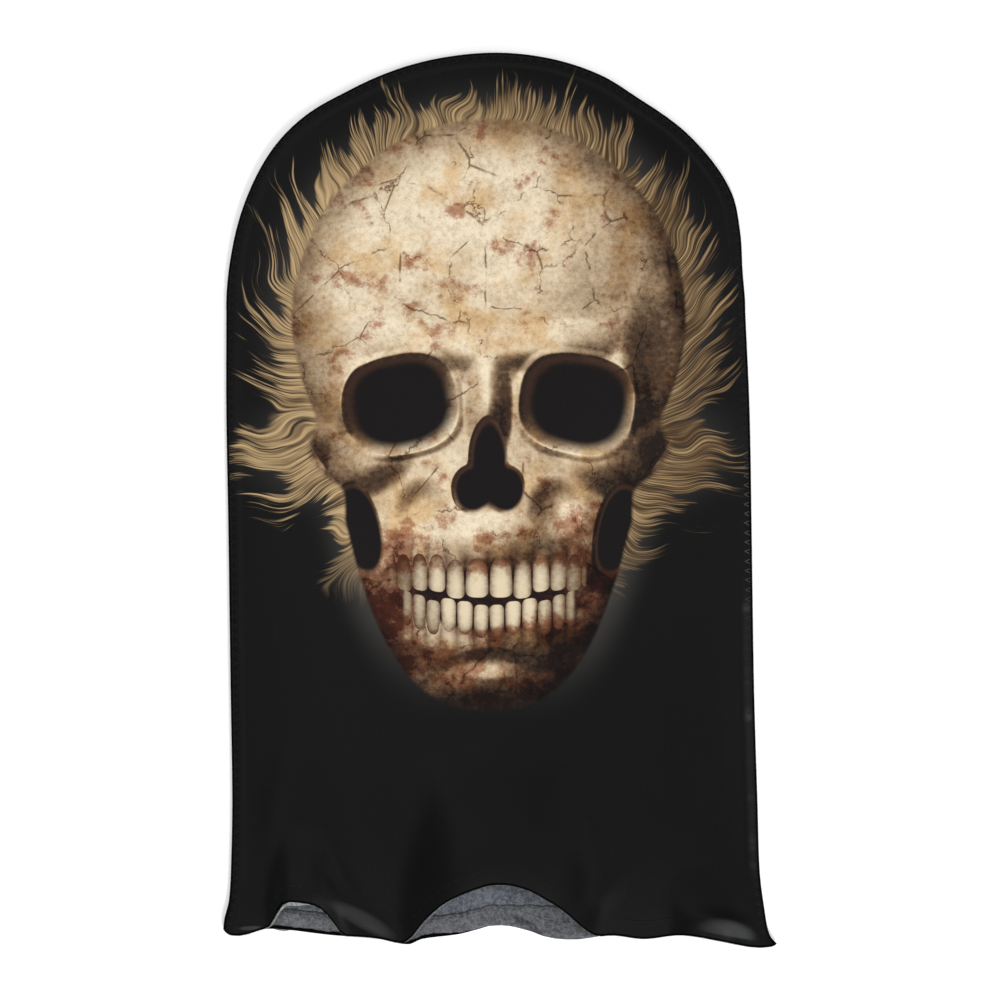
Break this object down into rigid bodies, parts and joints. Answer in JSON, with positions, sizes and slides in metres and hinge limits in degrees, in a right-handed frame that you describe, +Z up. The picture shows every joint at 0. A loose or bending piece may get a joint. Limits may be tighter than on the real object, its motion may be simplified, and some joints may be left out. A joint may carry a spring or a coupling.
{
  "type": "full-head costume hood of thin mesh, lying flat",
  "caption": "Black full-head stretch mesh costume hood with a printed skull face, lying flat with its neck hem rippled open.",
  "frame": {"origin": "middle of the flat outline, on the surface that the hood lies on", "axes": "+Z up, the way the printed face looks; +Y from the neck hem to the crown; +X to the right seen from above"},
  "size_m": [0.2782, 0.4495, 0.0236],
  "materials": {
    "printed_black": "thin black knit, printed outside, soft satin",
    "plain_black": "thin black knit, matte",
    "inner_grey": "unprinted inside of the knit, matte grey",
    "seam_thread": "overlocked edge, matte black"
  },
  "bodies": {
    "root": {"front_crown_left": "printed_black", "front_crown_right": "printed_black", "front_face": "printed_black", "front_neck_left": "printed_black", "front_neck_right": "printed_black", "back_panel": "plain_black", "edge_seam": "seam_thread", "front_hem": "inner_grey", "back_hem": "inner_grey"}
  },
  "joints": []
}
